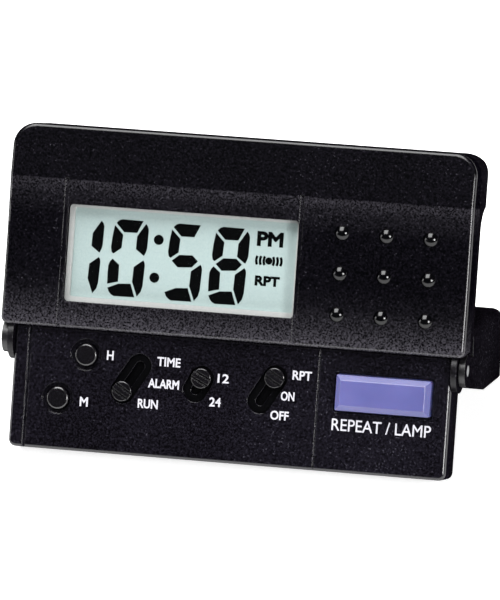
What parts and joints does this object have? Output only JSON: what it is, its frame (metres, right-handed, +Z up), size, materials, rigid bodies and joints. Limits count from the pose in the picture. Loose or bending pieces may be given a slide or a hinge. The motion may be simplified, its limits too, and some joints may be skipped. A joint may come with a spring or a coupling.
{
  "type": "travel alarm clock",
  "caption": "Folding digital travel alarm clock with a display, slide switches, push buttons, a snooze bar and a tray-shaped folding stand.",
  "frame": {"origin": "on the table, under the middle of the clock as it stands on its open stand", "axes": "+X to the right across the face, -Y towards the person reading it, +Z up; the face leans back"},
  "size_m": [0.0988, 0.048, 0.0598],
  "materials": {
    "black_abs": "fine spark-eroded black ABS",
    "clear_acrylic": "clear acrylic window",
    "white_styrene": "white styrene frame",
    "lcd_glass": "liquid crystal cell with a grey-green reflector",
    "light_guide": "milky acrylic light guide",
    "led_body": "moulded LED",
    "silicone": "grey silicone rubber",
    "gloss_black": "polished black ABS",
    "board": "green solder-masked glass laminate",
    "epoxy": "black epoxy drop",
    "bright_steel": "nickel-plated steel",
    "brass": "rolled brass",
    "bronze": "phosphor bronze strip",
    "cell_wrap": "printed steel can with a shrink sleeve",
    "lavender": "translucent lavender ABS"
  },
  "bodies": {
    "case": {"front_bezel": "black_abs", "key_panel": "black_abs", "rear_case": "black_abs", "display_window": "clear_acrylic", "lcd_frame": "white_styrene", "lcd_glass": "lcd_glass", "backlight_panel": "light_guide", "backlight_led": "led_body", "elastomer_strip": "silicone", "key_pad": "silicone", "sound_domes": "gloss_black", "circuit_board": "board", "clock_chip": "epoxy", "quartz_crystal": "bright_steel", "buzzer_disc": "brass", "buzzer_contacts": "bronze", "battery_cell": "cell_wrap", "battery_spring": "bright_steel", "battery_plus_contact": "bright_steel", "case_screws": "bright_steel", "board_screws": "bright_steel", "hinge_pins": "bright_steel"},
    "stand": {"stand": "black_abs"},
    "battery_door": {"battery_door": "black_abs"},
    "hour_button": {"hour_button": "gloss_black"},
    "minute_button": {"minute_button": "gloss_black"},
    "snooze_bar": {"snooze_bar": "lavender"},
    "mode_slider": {"mode_knob": "gloss_black", "mode_wiper": "bronze"},
    "hour_format_slider": {"hour_format_knob": "gloss_black", "hour_format_wiper": "bronze"},
    "alarm_slider": {"alarm_knob": "gloss_black", "alarm_wiper": "bronze"}
  },
  "joints": [
    {"name": "stand_hinge", "type": "hinge", "parent": "case", "child": "stand", "pos_m": [0, -0.0084, 0.02128], "axis": [-1, 0, 0], "range_deg": [0, 98]},
    {"name": "battery_door_slide", "type": "slide", "parent": "case", "child": "battery_door", "axis": [-1, 0, 0], "range_m": [0, 0.052]},
    {"name": "hour_button_press", "type": "slide", "parent": "case", "child": "hour_button", "axis": [0, 0.8066, -0.5912], "range_m": [0, 0.0005], "stiffness_N_per_m": 400, "springref_m": -0.0002},
    {"name": "minute_button_press", "type": "slide", "parent": "case", "child": "minute_button", "axis": [0, 0.8066, -0.5912], "range_m": [0, 0.0005], "stiffness_N_per_m": 400, "springref_m": -0.0002},
    {"name": "snooze_bar_press", "type": "slide", "parent": "case", "child": "snooze_bar", "axis": [0, 0.8066, -0.5912], "range_m": [0, 0.0005], "stiffness_N_per_m": 800, "springref_m": -0.0002},
    {"name": "mode_slide", "type": "slide", "parent": "case", "child": "mode_slider", "axis": [0.518, 0.5057, 0.6899], "range_m": [0, 0.00637]},
    {"name": "hour_format_slide", "type": "slide", "parent": "case", "child": "hour_format_slider", "axis": [-0.4472, -0.5287, -0.7214], "range_m": [0, 0.0028]},
    {"name": "alarm_slide", "type": "slide", "parent": "case", "child": "alarm_slider", "axis": [-0.5107, -0.5082, -0.6934], "range_m": [0, 0.00587]}
  ]
}
